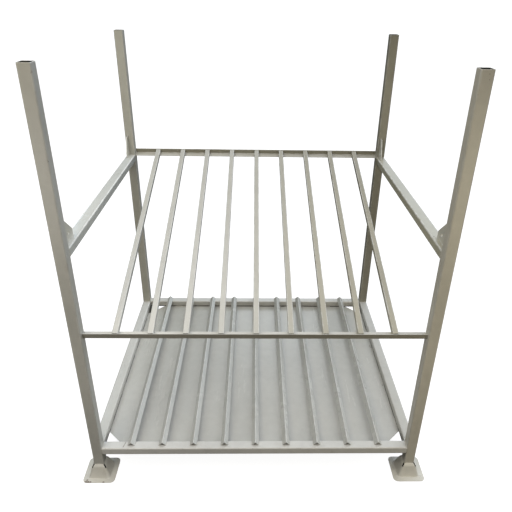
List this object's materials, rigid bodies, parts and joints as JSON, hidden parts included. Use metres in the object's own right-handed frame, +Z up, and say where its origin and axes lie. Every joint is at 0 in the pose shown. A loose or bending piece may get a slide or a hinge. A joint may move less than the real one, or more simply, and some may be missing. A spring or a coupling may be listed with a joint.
{
  "type": "tyre storage rack",
  "caption": "Welded stackable steel post rack for tyres, with a ribbed sheet floor on pressed stacking feet and a sloping shelf of square bars between angle rails.",
  "frame": {"origin": "on the ground, in the middle of the four posts", "axes": "+X along the width to the right, +Y from the low front of the shelf to its high back, +Z up"},
  "size_m": [1.706, 1.506, 1.95],
  "materials": {
    "frame_paint": "semi-gloss warm grey paint on tube and plate",
    "foot_paint": "satin warm grey paint on pressed sheet, chipped at the flange",
    "floor_paint": "semi-gloss light grey paint on sheet and angle",
    "shelf_paint": "semi-gloss light grey paint on small tube and angle"
  },
  "bodies": {
    "root": {"post_front_left": "frame_paint", "post_front_right": "frame_paint", "post_back_left": "frame_paint", "post_back_right": "frame_paint", "foot_front_left": "foot_paint", "foot_front_right": "foot_paint", "foot_back_left": "foot_paint", "foot_back_right": "foot_paint", "base_rail_front": "frame_paint", "base_rail_back": "frame_paint", "base_rail_left": "frame_paint", "base_rail_right": "frame_paint", "floor_sheet": "floor_paint", "floor_rib_1": "floor_paint", "floor_rib_2": "floor_paint", "floor_rib_3": "floor_paint", "floor_rib_4": "floor_paint", "floor_rib_5": "floor_paint", "floor_rib_6": "floor_paint", "floor_rib_7": "floor_paint", "floor_rib_8": "floor_paint", "floor_rib_9": "floor_paint", "side_rail_left": "frame_paint", "side_rail_right": "frame_paint", "gusset_front_left": "frame_paint", "gusset_front_right": "frame_paint", "gusset_back_left": "frame_paint", "gusset_back_right": "frame_paint", "shelf_angle_front": "shelf_paint", "shelf_angle_back": "shelf_paint", "shelf_bar_1": "shelf_paint", "shelf_bar_2": "shelf_paint", "shelf_bar_3": "shelf_paint", "shelf_bar_4": "shelf_paint", "shelf_bar_5": "shelf_paint", "shelf_bar_6": "shelf_paint", "shelf_bar_7": "shelf_paint", "shelf_bar_8": "shelf_paint", "shelf_bar_9": "shelf_paint"}
  },
  "joints": []
}
